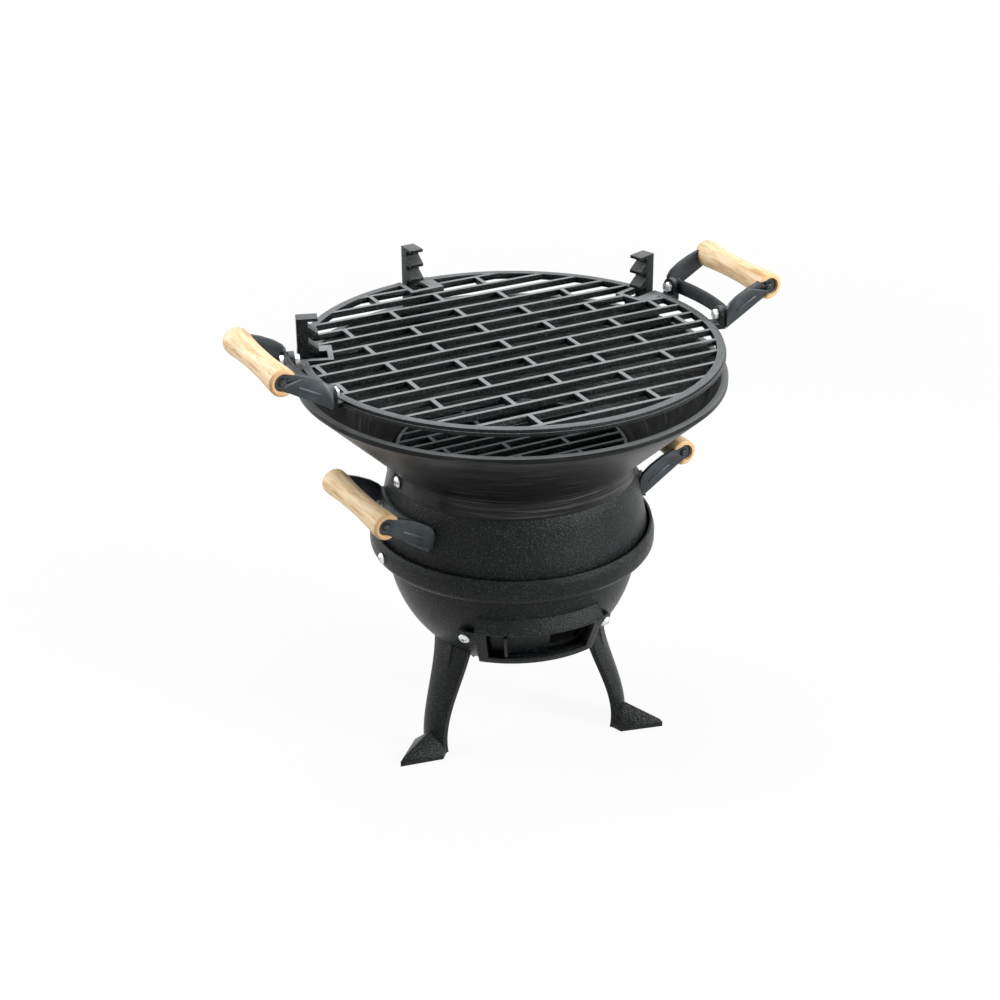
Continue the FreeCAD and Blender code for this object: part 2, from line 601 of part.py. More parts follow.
def make_body_ring():
    corners = (("ring_radius", RING_SEAT), ("ring_radius", CONE_FOOT), ("ring_neck", NECK_SEAT),
               ("spigot_radius", NECK_SEAT), ("spigot_radius", SPIGOT_TOP), (SPIGOT_INNER, SPIGOT_TOP),
               (SPIGOT_INNER, "%s - neck_step" % NECK_SEAT),
               ("ring_neck - ring_wall + neck_step * 2 * %s" % RING_SLOPE,
                "%s - neck_step * 2" % NECK_SEAT),
               (SKIRT_INNER, CONE_FOOT), (SKIRT_INNER, RING_SEAT))
    blank = turned("body_ring_blank", corners)
    tools = []
    for index in range(2):
        bore = hole("skirt_bore_%d" % index, "ring_wall * 4")
        tools.append(outward(bore, screw_turn(index), "ring_radius - ring_wall * 2", BAND_SCREW))
        bore = hole("spigot_bore_%d" % index, "ring_wall * 3")
        tools.append(outward(bore, screw_turn(index), "spigot_radius - ring_wall * 2", NECK_SCREW))
    tools += side_bores("ring", "ring_wall * -3", "ring_wall * 5")
    return keep("body_ring", cut("body_ring", blank, tools))


# Fire bowl: a flared funnel with a collar below, and lugs inside its rim for the posts

def make_fire_bowl():
    rim_foot = "%s - rim_edge" % RIM_TOP
    flare = "((rim_radius - %s) / (flare_height - rim_edge))" % COLLAR_OUTER
    inner_foot = "%s + collar_wall * 0.4" % COLLAR_TOP
    corners = ((COLLAR_INNER, NECK_SEAT), (COLLAR_OUTER, NECK_SEAT), (COLLAR_OUTER, COLLAR_TOP),
               ("rim_radius", rim_foot), ("rim_radius", RIM_TOP), ("rim_radius - rim_width", RIM_TOP),
               (COLLAR_INNER, inner_foot))
    blank = turned("fire_bowl_blank", corners)
    inside = solid("Cone", "flare_inside", Radius1=COLLAR_OUTER,
                   Radius2="rim_radius + %s * rim_edge - rim_edge" % flare, Height="flare_height")
    place(inside, z=COLLAR_TOP)
    lugs = []
    tools = []
    for index in range(3):
        lug = solid("Box", "lug_%d" % index, Length="post_foot_depth", Width=FOOT_WIDTH,
                    Height="lug_thickness")
        place_out(lug, post_turn(index), "post_radius - post_foot_depth", "-%s" % FOOT_SIDE,
                  "%s - lug_thickness" % RIM_TOP)
        lugs.append(common("lug_trim_%d" % index, lug, inside))
        socket = solid("Cylinder", "peg_socket_%d" % index, Radius="peg_radius + peg_gap",
                       Height="lug_thickness")
        depth = "%s - peg_length - rest_gap" % RIM_TOP
        tools.append(place_out(socket, post_turn(index), PEG_PLACE, 0, depth))
    for index in range(2):
        bore = hole("collar_bore_%d" % index, "collar_wall * 3")
        tools.append(outward(bore, screw_turn(index), "%s - collar_wall" % COLLAR_INNER, NECK_SCREW))
    lugged = fuse("fire_bowl_lugged", [blank] + lugs)
    return keep("fire_bowl", cut("fire_bowl", lugged, tools))


PEG_PLACE = "(post_radius - post_foot_depth + peg_radius * 2)"


def post_turn(index):
    return ("(post_angle - right_post_angle)", "(post_angle)", "(post_angle + left_post_angle)")[index]


# Notched posts: saw teeth that look towards the axis, on a foot block with a peg

def make_post(label, index):
    root = "post_radius - post_depth + tooth_depth"
    first = "(%s + tooth_room)" % GRATE_TOP
    crown = "%s + tooth_pitch * (tooth_count - 1) + tooth_face" % first
    corners = [("post_radius", RIM_TOP), ("post_radius", crown), (POST_TIP, crown)]
    count = int(value("tooth_count"))
    for tooth in reversed(range(count)):
        under = "%s + tooth_pitch * %d" % (first, tooth)
        if tooth < count - 1:
            corners.append((root, "%s + tooth_face + tooth_rise" % under))
            corners.append((POST_TIP, "%s + tooth_face" % under))
        corners += [(POST_TIP, under), (root, under)]
    corners.append((root, RIM_TOP))
    stem = plate(label + "_stem", corners, "post_width", post_turn(index))
    foot = solid("Box", label + "_foot", Length="post_foot_depth", Width=FOOT_WIDTH,
                 Height="post_foot_height")
    place_out(foot, post_turn(index), "post_radius - post_foot_depth", "-%s" % FOOT_SIDE, RIM_TOP)
    peg = solid("Cylinder", label + "_peg", Radius="peg_radius", Height="peg_length + post_foot_height / 2")
    place_out(peg, post_turn(index), PEG_PLACE, 0, "%s - peg_length" % RIM_TOP)
    return keep(label, fuse(label, (stem, foot, peg)))


# Grates: a ring with a deep lip, bars across it, and cross ribs that are staggered from row to row

def grate_blank(name, foot, sizes):
    radius, ring, thickness, height, count, pitch, bar, rib_pitch, rib = sizes
    top = "(%s + %s)" % (foot, thickness)
    under = "(%s - %s)" % (top, height)
    inside = "(%s - %s)" % (radius, ring)
    shoulder = "(%s - edge_step)" % radius
    ledge = "(%s + %s / 2)" % (foot, thickness)
    corners = ((radius, foot), (radius, ledge), (shoulder, ledge), (shoulder, top), (inside, top),
               (inside, foot))
    pieces = [turned(name + "_ring", corners)]
    bars = int(value(count))
    middle = "(%s - %s / 2)" % (radius, ring)
    for index in range(bars):
        across = "((%d - (%s - 1) / 2) * %s)" % (index, count, pitch)
        length = "2 * sqrt(pow(%s; 2) - pow(%s; 2))" % (middle, across)
        item = solid("Box", "%s_bar_%d" % (name, index), Length=length, Width=bar, Height=height)
        side = "%s - %s / 2" % (across, bar)
        pieces.append(place_out(item, "grate_turn", "-(%s) / 2" % length, side, under))
    inner = value(radius) - value(ring)
    for row in range(bars - 1):
        middle_row = row - (bars - 2) / 2.0
        reach = math.sqrt(inner ** 2 - ((abs(middle_row) + 0.5) * value(pitch)) ** 2) - value(rib)
        stagger = 0.5 * (int(abs(middle_row)) % 2)
        steps = int(reach / value(rib_pitch)) + 2
        for step in range(-steps, steps + 1):
            along = "(rib_shift + (%s) * %s)" % (step + stagger, rib_pitch)
            if abs(value(along)) > reach:
                continue
            item = solid("Box", "%s_rib_%d_%d" % (name, row, step + steps), Length=rib, Width=pitch,
                         Height=height)
            across = "((%d - (%s - 1) / 2) * %s)" % (row, count, pitch)
            pieces.append(place_out(item, "grate_turn", "%s - %s / 2" % (along, rib), across, under))
    return pieces


def make_charcoal_grate():
    sizes = (COAL_RADIUS, "coal_ring", "coal_thickness", "coal_bar_height", "coal_bar_count",
             "coal_bar_pitch", "coal_bar_thickness", "coal_rib_pitch", "coal_rib_thickness")
    return keep("charcoal_grate", fuse("charcoal_grate", grate_blank("charcoal", COAL_FOOT, sizes)))


def make_cooking_grate():
    sizes = ("grate_radius", "grate_ring", "grate_thickness", "bar_height", "bar_count",
             "bar_pitch", "bar_thickness", "rib_pitch", "rib_thickness")
    pieces = grate_blank("cooking", GRATE_FOOT, sizes)
    disc = solid("Cylinder", "grate_disc", Radius="grate_radius", Height="grate_thickness")
    place(disc, z=GRATE_FOOT)
    recesses = []
    for index in range(3):
        inner = "(%s - recess_reach)" % POST_TIP
        frame = solid("Box", "recess_frame_%d" % index, Length="grate_radius",
                      Width="%s * 2 + recess_frame + recess_pad" % RECESS_HALF, Height="grate_thickness")
        place_out(frame, post_turn(index), "%s - recess_frame" % inner, "-%s - recess_pad" % RECESS_HALF,
                  GRATE_FOOT)
        pieces.append(common("recess_trim_%d" % index, frame, disc))
        recess = solid("Box", "recess_%d" % index, Length="grate_radius", Width="%s * 2" % RECESS_HALF,
                       Height="grate_thickness * 3")
        place_out(recess, post_turn(index), inner, "-%s" % RECESS_HALF, "%s - grate_thickness" % GRATE_FOOT)
        recesses.append(recess)
    root = "grate_radius - grate_ring / 2"
    tab = "%s - ear_step" % GRATE_TOP
    for name, turn in top_bolt_turns():
        corners = ((root, GRATE_FOOT), (EAR_FACE, GRATE_FOOT), (EAR_FACE, TOP_BOLT), (EAR_BACK, TOP_BOLT),
                   (EAR_BACK, tab), (root, tab))
        pieces.append(sector("ear_" + name, corners, "2 * asin(ear_radius / %s)" % EAR_FACE, turn))
        knob = solid("Cylinder", "ear_knob_" + name, Radius="ear_radius", Height="ear_thickness * 2")
        outward(knob, turn, EAR_BACK, TOP_BOLT)
        limit = solid("Cylinder", "ear_limit_" + name, Radius=EAR_FACE, Height="ear_radius * 4")
        pieces.append(common("ear_round_" + name, knob, place(limit, z="%s - ear_radius * 2" % TOP_BOLT)))
        bore = hole("ear_hole_" + name, "ear_thickness * 3")
        recesses.append(outward(bore, turn, "%s - ear_thickness" % EAR_BACK, TOP_BOLT))
    return keep("cooking_grate", cut("cooking_grate", fuse("grate_joined", pieces), recesses))


# Handles: a bent strap on a curved seat, a wooden grip between its tips, and a rod through both

TOP_BOLT = "(%s + top_band_lift + top_band_height / 2)" % GRATE_FOOT
SIDE_BOLT = "(side_band_foot + side_band_height / 2)"
HANDLE_SIDES = (("right", 0), ("left", 180))


def top_turn(half_turn):
    return "(grate_turn + %d)" % half_turn


def side_turn_of(half_turn):
    return "(side_turn + %d)" % half_turn


def top_bolt_turns():
    for side, half_turn in HANDLE_SIDES:
        for mark, sign in (("a", "-"), ("b", "+")):
            yield side + "_" + mark, "(%s %s top_bolt_angle)" % (top_turn(half_turn), sign)


def side_bolt_turns():
    for side, half_turn in HANDLE_SIDES:
        for mark, sign in (("a", "-"), ("b", "+")):
            yield side + "_" + mark, "(%s %s side_bolt_angle)" % (side_turn_of(half_turn), sign)


def side_seat(height):
    return "(ring_neck + (%s - %s) * %s)" % (NECK_SEAT, height, RING_SLOPE)


# A spot on the body ring's slope, square to it, a distance out from its surface
def square_to_ring(item, turn, distance):
    out = "%s + (%s) * cos(%s)" % (side_seat(SIDE_BOLT), distance, RING_LEAN)
    rise = "%s + (%s) * sin(%s)" % (SIDE_BOLT, distance, RING_LEAN)
    return outward(item, turn, out, rise, RING_LEAN)


def side_bores(name, start, length):
    bores = []
    for mark, turn in side_bolt_turns():
        bores.append(square_to_ring(hole("%s_bore_%s" % (name, mark), length), turn, start))
    return bores


# An arm spans from one distance off the handle's middle to another; its upper edge is bowed
def arm(name, turn, sign, shape, grow, span):
    reach, height, root, low, high = shape
    thickness = "(%s - %s)" % (span[1], span[0])
    corners = [(root, "%s - %s" % (low, grow)), (reach, "%s - tip_radius - %s" % (height, grow)),
               (reach, "%s + tip_radius + %s" % (height, grow))]
    bow = ((0.25, 0.75, 0), (0.5, 1, 0), (0.75, 0.75, 0), (0.92, 0.3, 0.25), (1, 0, 1))
    for share, bulge, drop in bow:
        out = "%s + (%s - %s) * %s" % (reach, root, reach, share)
        edge = "(%s + tip_radius) * %s + %s * %s" % (height, 1 - share, high, share)
        corners.append((out, "%s + arm_bulge * %s - arm_corner * %s + %s" % (edge, bulge, drop, grow)))
    side = "(%s(%s + %s) / 2)" % (sign, span[0], span[1])
    blade = plate(name + "_blade", corners, thickness, turn, side)
    tip = solid("Cylinder", name + "_tip", Radius="tip_radius + %s" % grow, Height=thickness)
    place_out(tip, turn, reach, "%s - (%s) / 2" % (side, thickness), height, roll=-90)
    return fuse(name, (blade, tip))


def rod_bore(name, turn, reach, height):
    bore = solid("Cylinder", name, Radius="rod_radius + rod_gap", Height="grip_half * 3")
    return place_out(bore, turn, reach, "grip_half * -1.5", height, roll=-90)


def make_strap(label, turn, band, shape, seat, bores):
    span = ("(%s - strap_thickness)" % STRAP_HALF, STRAP_HALF)
    arms = [arm("%s_arm_%s" % (label, mark), turn, sign, shape, "0", span)
            for mark, sign in (("a", "-"), ("b", "+"))]
    joined = fuse(label + "_joined", [band] + arms)
    trimmed = cut(label + "_trimmed", joined, [seat])
    tools = list(bores) + [rod_bore(label + "_rod_bore", turn, shape[0], shape[1])]
    return keep(label, cut(label, trimmed, tools))


# A grip is turned with straight chamfered ends and a long hollow waist; a slot in each end takes an arm
def make_grip(label, turn, shape):
    inner = "rod_radius + rod_gap"
    low = "grip_half"
    high = "grip_half * 3"
    shoulder = "grip_radius - grip_chamfer"
    corners = ((inner, low), (shoulder, low), ("grip_radius", "%s + grip_chamfer" % low),
               ("grip_radius", "%s + grip_end" % low), ("grip_radius", "%s - grip_end" % high),
               ("grip_radius", "%s - grip_chamfer" % high), (shoulder, high), (inner, high))
    body = turned(label + "_blank", corners, waist=3)
    place_out(body, turn, shape[0], "-grip_half * 2", shape[1], roll=-90)
    span = ("(%s - strap_thickness - grip_groove_gap)" % STRAP_HALF, "(grip_half + strap_thickness)")
    grooves = [arm("%s_groove_%s" % (label, mark), turn, sign, shape, "grip_groove_gap", span)
               for mark, sign in (("a", "-"), ("b", "+"))]
    return keep(label, cut(label, body, grooves))


def make_rod(label, turn, shape):
    rod = solid("Cylinder", label + "_shank", Radius="rod_radius", Height="%s * 2" % STRAP_HALF)
    place_out(rod, turn, shape[0], "-%s" % STRAP_HALF, shape[1], roll=-90)
    heads = []
    for mark, sign, roll in (("a", "-", 90), ("b", "+", -90)):
        head = solid("Cone", "%s_head_%s" % (label, mark), Radius1="rod_head_radius",
                     Radius2="rod_head_radius * 0.6", Height="rod_head_height")
        heads.append(place_out(head, turn, shape[0], sign + STRAP_HALF, shape[1], roll=roll))
    return keep(label, fuse(label, [rod] + heads))


def top_shape():
    root = "sqrt(pow(%s; 2) - pow(%s; 2))" % (EAR_FACE, STRAP_HALF)
    return ("top_grip_reach", "(%s + top_grip_height)" % GRATE_TOP, root,
            "(%s - top_arm_height / 2)" % TOP_BOLT, "(%s + top_arm_height / 2)" % TOP_BOLT)


def side_shape():
    root = "sqrt(pow(%s; 2) - pow(%s; 2))" % (side_seat(SIDE_BOLT), STRAP_HALF)
    return ("side_grip_reach", "side_grip_height", root,
            "(%s - side_arm_height / 2)" % SIDE_BOLT, "(%s + side_arm_height / 2)" % SIDE_BOLT)


def make_top_handle(side, half_turn):
    turn = top_turn(half_turn)
    inner = "(%s + strap_seat_gap)" % EAR_FACE
    outer = "(%s + strap_thickness)" % inner
    low = "%s - top_band_height / 2" % TOP_BOLT
    high = "%s + top_band_height / 2" % TOP_BOLT
    corners = ((inner, low), (outer, low), (outer, high), (inner, high))
    band = sector("grate_band_" + side, corners, "2 * asin(%s / %s)" % (STRAP_HALF, outer), turn)
    seat = solid("Cylinder", "grate_seat_" + side, Radius=inner, Height="top_arm_height * 4")
    place(seat, z="%s - top_arm_height * 2" % TOP_BOLT)
    bores = []
    for name, bolt_turn in top_bolt_turns():
        if name.startswith(side):
            bore = hole("grate_strap_bore_" + name, "strap_thickness * 6")
            bores.append(outward(bore, bolt_turn, "%s - strap_thickness * 2" % EAR_FACE, TOP_BOLT))
    make_strap("grate_strap_" + side, turn, band, top_shape(), seat, bores)
    make_grip("grate_grip_" + side, turn, top_shape())
    make_rod("grate_rod_" + side, turn, top_shape())


def make_side_handle(side, half_turn):
    turn = side_turn_of(half_turn)
    low = "(%s - side_band_height / 2)" % SIDE_BOLT
    high = "(%s + side_band_height / 2)" % SIDE_BOLT
    lower = "(%s + strap_seat_gap)" % side_seat(low)
    upper = "(%s + strap_seat_gap)" % side_seat(high)
    corners = ((lower, low), ("%s + strap_thickness" % lower, low), ("%s + strap_thickness" % upper, high),
               (upper, high))
    span = "2 * asin(%s / (%s + strap_thickness))" % (STRAP_HALF, lower)
    band = sector("side_band_" + side, corners, span, turn)
    seat = solid("Cone", "side_seat_" + side, Radius1="ring_radius + strap_seat_gap",
                 Radius2="ring_neck + strap_seat_gap", Height="ring_cone")
    place(seat, z=CONE_FOOT)
    bores = []
    for name, bolt_turn in side_bolt_turns():
        if name.startswith(side):
            bore = hole("side_strap_bore_" + name, "strap_thickness * 4")
            bores.append(square_to_ring(bore, bolt_turn, "strap_thickness * -1"))
    make_strap("side_strap_" + side, turn, band, side_shape(), seat, bores)
    make_grip("side_grip_" + side, turn, side_shape())
    make_rod("side_rod_" + side, turn, side_shape())


# Bolts and nuts of the handles, square to their seats
def make_handle_bolts():
    past_nut = "nut_gap + nut_height + thread_end"
    bolts = []
    nuts = []
    length = "strap_thickness + strap_seat_gap + ear_thickness + nut_gap + nut_height"
    for name, turn in top_bolt_turns():
        bolt = hex_bolt("grate_bolt_" + name, length)
        bolts.append(outward(bolt, turn, "%s + strap_seat_gap + strap_thickness" % EAR_FACE, TOP_BOLT))
        nut = hex_nut("grate_nut_" + name)
        nuts.append(outward(nut, turn, "%s - nut_gap - nut_height" % EAR_BACK, TOP_BOLT))
    keep("grate_bolts", gather("grate_bolts", bolts))
    keep("grate_nuts", gather("grate_nuts", nuts))
    bolts = []
    nuts = []
    length = "strap_thickness + strap_seat_gap + ring_wall + " + past_nut
    for name, turn in side_bolt_turns():
        bolt = hex_bolt("side_bolt_" + name, length)
        seat = "(strap_seat_gap + strap_thickness) * cos(%s)" % RING_LEAN
        bolts.append(square_to_ring(bolt, turn, seat))
        nut = hex_nut("side_nut_" + name)
        seat = "-(ring_wall * cos(%s)) - nut_gap - nut_height" % RING_LEAN
        nuts.append(square_to_ring(nut, turn, seat))
    keep("side_bolts", gather("side_bolts", bolts))
    keep("side_nuts", gather("side_nuts", nuts))


# Bright cross-recess screws: two through the band, two through the collar, with nuts inside
def make_casing_screws():
    past_nut = "nut_gap + nut_height + thread_end"
    places = (("band", "band_radius", SKIRT_INNER, BAND_SCREW),
              ("neck", COLLAR_OUTER, SPIGOT_INNER, NECK_SCREW))
    for name, outer, inner, height in places:
        screws = []
        nuts = []
        for index in range(2):
            screw = pan_screw("%s_screw_%d" % (name, index), "%s - %s + %s" % (outer, inner, past_nut))
            screws.append(outward(screw, screw_turn(index), outer, height))
            nut = hex_nut("%s_nut_%d" % (name, index))
            nuts.append(outward(nut, screw_turn(index), "%s - nut_gap - nut_height" % inner, height))
        keep(name + "_screws", gather(name + "_screws", screws))
        keep(name + "_nuts", gather(name + "_nuts", nuts))


# Air vent: a frame with a hood and two ears, and a slider that turns behind its window

def make_vent_frame():
    corners = (("vent_back", "vent_bottom"), ("vent_sill_radius", "vent_bottom"),
               ("hood_radius", "hood_height"), ("vent_top_radius", "vent_top"), ("vent_back", "vent_top"))
    envelope = sector("vent_envelope", corners, "vent_half * 2", "vent_angle")
    ball = place(solid("Sphere", "vent_ball", Radius="bowl_radius + frame_gap"), z="bowl_brim")
    far = "hood_radius * 2"
    corners = (("vent_back", "window_bottom"), (far, "window_bottom"), (far, "window_top"),
               ("vent_back", "window_top"))
    window = sector("vent_window", corners, "window_half * 2", "vent_angle")
    low = "(window_bottom - slider_lap - slider_gap)"
    high = "(window_top + slider_lap + slider_gap)"
    front = "slider_thickness + slider_gap"
    corners = (("vent_back", low), ("%s + %s" % (slider_radius(low), front), low),
               ("%s + %s" % (slider_radius(high), front), high), ("vent_back", high))
    channel = sector("vent_channel", corners, "window_half * 2", "vent_angle")
    block = cut("vent_block", envelope, [ball])
    block = cut("vent_open", block, [fuse("vent_room", (window, channel))])
    skin = solid("Sphere", "ear_skin", Radius="bowl_radius + frame_gap + vent_ear_thickness")
    inner = solid("Sphere", "ear_inside", Radius="bowl_radius + frame_gap")
    shell = cut("ear_shell", place(skin, z="bowl_brim"), [place(inner, z="bowl_brim")])
    ears = []
    bores = []
    for index in range(2):
        low = "vent_ear_height - vent_ear_radius * 0.8"
        high = "vent_ear_height + vent_ear_radius * 0.8"
        corners = (("vent_back", low), (far, low), (far, high), ("vent_back", high))
        middle = "(vent_angle %s (vent_ear_angle + vent_half) / 2)" % "-+"[index]
        bridge = sector("ear_bridge_%d" % index, corners, "vent_ear_angle - vent_half + fin_angle", middle)
        disc = solid("Cylinder", "ear_disc_%d" % index, Radius="vent_ear_radius",
                     Height="vent_ear_thickness * 5")
        from_bowl(disc, ear_turn(index), "bowl_radius - bowl_wall", "vent_ear_height")
        ears.append(common("vent_ear_%d" % index, shell, fuse("ear_plan_%d" % index, (bridge, disc))))
        bore = hole("frame_bore_%d" % index, "bowl_wall * 6")
        bores.append(from_bowl(bore, ear_turn(index), "bowl_radius - bowl_wall", "vent_ear_height"))
    return keep("vent_frame", cut("vent_frame", fuse("vent_joined", [block] + ears), bores))


def make_vent_slider():
    low = "(window_bottom - slider_lap)"
    high = "(window_top + slider_lap)"
    corners = ((slider_radius(low), low), ("%s + slider_thickness" % slider_radius(low), low),
               ("%s + slider_thickness" % slider_radius(high), high), (slider_radius(high), high))
    shutter = sector("slider_plate", corners, "slider_angle", SLIDER_REST)
    low = "(window_bottom + slider_gap * 3)"
    high = "(window_top - slider_gap * 3)"
    root = "slider_thickness / 2"
    tip = "slider_thickness + fin_reach"
    corners = [("%s + %s" % (slider_radius(low), out), low) for out in (root, tip)]
    corners += [("%s + %s" % (slider_radius(high), out), high) for out in (tip, root)]
    turn = "(vent_angle - window_half + slider_stop + fin_place)"
    fin = sector("slider_fin", corners, "fin_angle", turn)
    return keep("vent_slider", fuse("vent_slider", (shutter, fin)))


def make_vent_screws():
    seat = "bowl_radius + frame_gap + vent_ear_thickness"
    length = "frame_gap + vent_ear_thickness + bowl_wall + nut_gap + nut_height + thread_end"
    screws = []
    nuts = []
    for index in range(2):
        screw = pan_screw("vent_screw_%d" % index, length)
        screws.append(from_bowl(screw, ear_turn(index), seat, "vent_ear_height"))
        nut = hex_nut("vent_nut_%d" % index)
        inner = "bowl_radius - bowl_wall - nut_gap - nut_height"
        nuts.append(from_bowl(nut, ear_turn(index), inner, "vent_ear_height"))
    keep("vent_screws", gather("vent_screws", screws))
    keep("vent_nuts", gather("vent_nuts", nuts))


make_base_bowl()
for leg_place, leg_name in enumerate(("leg_back", "leg_left", "leg_right")):
    make_leg(leg_name, leg_place)
make_leg_bolts()
make_vent_frame()
make_vent_slider()
make_vent_screws()
make_body_ring()
make_fire_bowl()
make_casing_screws()
for post_place, post_name in enumerate(("post_right", "post_back", "post_left")):
    make_post(post_name, post_place)
make_charcoal_grate()
make_cooking_grate()
for handle_side, handle_half_turn in HANDLE_SIDES:
    make_top_handle(handle_side, handle_half_turn)
    make_side_handle(handle_side, handle_half_turn)
make_handle_bolts()
doc.recompute()

for item in doc.Objects:
    if "Invalid" in item.State or "Error" in item.State:
        raise RuntimeError("%s is %s" % (item.Name, item.State))

os.makedirs("parts", exist_ok=True)
for item in NODES:
    shape = item.Shape
    if shape.isNull() or not shape.isValid():
        raise RuntimeError("%s has no valid shape" % item.Label)
    shape.exportStep("parts/%s.step" % item.Label)
    box = shape.BoundBox
    corner = (box.XMin, box.XMax, box.YMin, box.YMax, box.ZMin, box.ZMax)
    print("%s: %d solids, %.0f mm3" % (item.Label, len(shape.Solids), shape.Volume))
    print("    x %.1f to %.1f, y %.1f to %.1f, z %.1f to %.1f" % corner)
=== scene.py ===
import math

import bmesh
import bpy
from mathutils import Matrix, Vector


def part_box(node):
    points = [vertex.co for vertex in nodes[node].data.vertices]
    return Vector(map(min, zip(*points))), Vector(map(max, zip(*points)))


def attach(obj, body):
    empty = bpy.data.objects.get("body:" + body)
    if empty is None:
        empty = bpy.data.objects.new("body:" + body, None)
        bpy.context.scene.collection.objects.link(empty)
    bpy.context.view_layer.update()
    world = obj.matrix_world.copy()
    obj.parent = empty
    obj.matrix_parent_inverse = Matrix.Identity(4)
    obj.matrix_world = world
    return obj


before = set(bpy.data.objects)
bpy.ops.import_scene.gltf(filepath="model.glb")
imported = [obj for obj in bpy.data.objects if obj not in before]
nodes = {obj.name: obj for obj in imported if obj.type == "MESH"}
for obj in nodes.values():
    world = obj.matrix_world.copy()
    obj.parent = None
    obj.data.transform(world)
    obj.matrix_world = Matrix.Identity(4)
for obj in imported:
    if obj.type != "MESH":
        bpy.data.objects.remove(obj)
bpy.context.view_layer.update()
print("frame loaded:", len(nodes), "nodes")


def srgb(hexColour):
    parts = [int(hexColour[i:i + 2], 16) / 255 for i in (1, 3, 5)]
    linear = [c / 12.92 if c <= 0.04045 else ((c + 0.055) / 1.055) ** 2.4 for c in parts]
    return (*linear, 1.0)


def perMetre(millimetres):  # a pattern's scale from its real size
    return 1000 / millimetres


def addNode(tree, kind, settings=None, links=None):
    made = tree.nodes.new(kind)
    for name, setting in (settings or {}).items():
        if name == "stops":  # places and colours along a colour ramp
            elements = made.color_ramp.elements
            while len(elements) < len(setting):
                elements.new(0.5)
            for element, (spot, colour) in zip(elements, setting):
                element.position = spot
                element.color = srgb(colour)
        elif isinstance(name, int) or name in made.inputs:
            made.inputs[name].default_value = setting
        else:
            setattr(made, name, setting)
    for name, source in (links or {}).items():
        tree.links.new(source, made.inputs[name])
    return made


def newMaterial(name):
    material = bpy.data.materials.new(name)
    material.use_nodes = True
    tree = material.node_tree
    shader = tree.nodes["Principled BSDF"]
    place = addNode(tree, "ShaderNodeTexCoord")
    return material, tree, shader, place.outputs["Object"]


# sand-cast iron under heat-proof black: pebbled by the mould's sand, satin, lighter on faces that look up,
# which is painted sheen together with rubbing
ironLook = {
    "colours": ((0.4, "#040505"), (0.54, "#101213"), (0.66, "#303537")),  # hollows, grain, and bright specks that are painted glints on the grain
    "grainMm": 1.4,  # real sand grain is about 0.4 mm; drawn coarser so that it shows
    "grainDetail": 3.0,
    "grainBreak": 0.6,
    "grainShare": 0.9,
    "grainDepth": 0.0009,
    "grainStrength": 0.85,
    "blotchMm": 26.0,
    "blotchDetail": 4.0,
    "blotchShare": 0.1,
    "roughness": (0.28, 0.38),
    "specular": 0.17,
}
# faces that look up are painted lighter: a painted sheen of the bright room together with rubbing by pans
# and brushes, uneven over the grain
sheenAndRubLook = {
    "levelFrom": 0.55,  # upward part of the face's normal
    "levelTo": 0.95,
    "most": 0.9,
    "grainShare": 1.2,
    "least": 0.15,
}
# the cooking grate's outer ring gets less of this painted sheen and rubbing than its bars; radii in metres
grateTop = {"bareAndSheen": "#979c9d", "ring": "#74787a", "ringFrom": 0.163, "ringTo": 0.166}
coalTop = {"bareAndSheen": "#5d6163"}
postTop = {"bareAndSheen": "#686b6d"}


